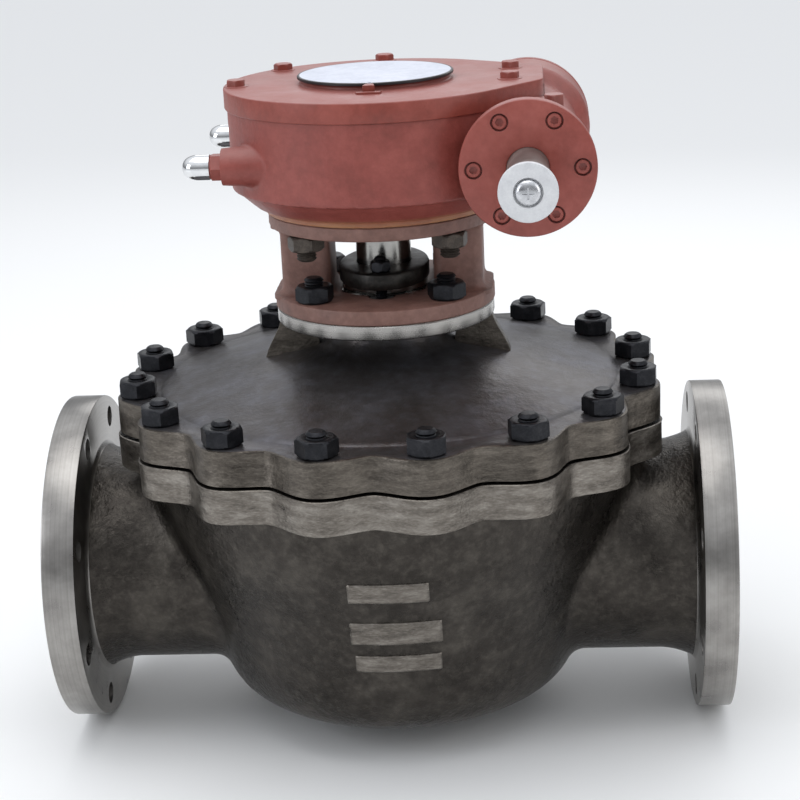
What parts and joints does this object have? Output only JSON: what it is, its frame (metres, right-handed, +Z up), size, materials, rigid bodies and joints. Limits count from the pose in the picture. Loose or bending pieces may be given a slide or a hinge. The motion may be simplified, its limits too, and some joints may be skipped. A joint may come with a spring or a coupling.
{
  "type": "top-entry ball valve",
  "caption": "Top-entry ball valve with flanged ends, a scalloped bolted bonnet, a bracket and a worm gearbox that turns the ball a quarter turn.",
  "frame": {"origin": "on the floor under the stem axis, in the middle of the foot pad", "axes": "+Z up along the stem, X along the pipe axis (0.175 m above the origin), worm shaft end towards -Y; stored open"},
  "size_m": [0.696, 0.558, 0.6837],
  "materials": {
    "cast_steel": "rough cast, oiled",
    "bonnet_steel": "rough cast, oiled, bluish sheen",
    "black_bolting": "black oxide, satin",
    "machined_steel": "turned, bright",
    "brown_primer": "matt primer over a casting",
    "red_primer": "matt red-oxide primer over a casting",
    "ptfe": "turned polymer",
    "bronze": "turned bearing bronze",
    "graphite": "pressed graphite",
    "white_enamel": "smooth white enamel",
    "bright_nickel": "polished plating"
  },
  "bodies": {
    "valve": {"body": "cast_steel", "bonnet": "bonnet_steel", "bonnet_gasket": "graphite", "stem_packing": "graphite", "bonnet_stud_01": "black_bolting", "bonnet_stud_02": "black_bolting", "bonnet_stud_03": "black_bolting", "bonnet_stud_04": "black_bolting", "bonnet_stud_05": "black_bolting", "bonnet_stud_06": "black_bolting", "bonnet_stud_07": "black_bolting", "bonnet_stud_08": "black_bolting", "bonnet_stud_09": "black_bolting", "bonnet_stud_10": "black_bolting", "bonnet_stud_11": "black_bolting", "bonnet_stud_12": "black_bolting", "bonnet_stud_13": "black_bolting", "bonnet_stud_14": "black_bolting", "bonnet_stud_15": "black_bolting", "bonnet_stud_16": "black_bolting", "seat_ring_left": "machined_steel", "seat_ring_right": "machined_steel", "seat_spring_left": "machined_steel", "seat_spring_right": "machined_steel", "seat_insert_left": "ptfe", "seat_insert_right": "ptfe", "stop_screw_closed": "bright_nickel", "stop_screw_open": "bright_nickel", "trunnion_bush": "bronze", "stem_bush": "bronze", "worm_bush_front": "bronze", "worm_bush_rear": "bronze", "gland": "machined_steel", "gland_flange": "black_bolting", "gland_stud_front": "black_bolting", "gland_stud_back": "black_bolting", "bracket_stud_1": "black_bolting", "bracket_stud_2": "black_bolting", "bracket_stud_3": "black_bolting", "bracket_stud_4": "black_bolting", "gearbox_stud_1": "black_bolting", "gearbox_stud_2": "black_bolting", "gearbox_stud_3": "black_bolting", "gearbox_stud_4": "black_bolting", "bracket": "brown_primer", "gear_housing": "red_primer", "grease_plug": "red_primer", "gear_cover": "red_primer", "worm_cover_front": "red_primer", "worm_cover_rear": "red_primer"},
    "quarter_turn_train": {"ball": "bright_nickel", "stem": "machined_steel", "stem_key": "machined_steel", "drive_sleeve": "machined_steel", "worm_wheel": "bronze", "position_indicator": "white_enamel"},
    "worm": {"worm_shaft": "machined_steel", "shaft_end_washer": "white_enamel", "shaft_end_screw": "machined_steel"}
  },
  "joints": [
    {"name": "ball_turn", "type": "hinge", "parent": "valve", "child": "quarter_turn_train", "pos_m": [0, 0, 0.175], "axis": [0, 0, -1], "range_deg": [0, 90]},
    {"name": "worm_turn", "type": "hinge", "parent": "valve", "child": "worm", "pos_m": [0.15, 0, 0.6091], "axis": [0, 1, 0], "range_deg": [0, 4500]}
  ],
  "couplings": [
    {"joint": "worm_turn", "follows": "ball_turn", "ratio": 50}
  ]
}
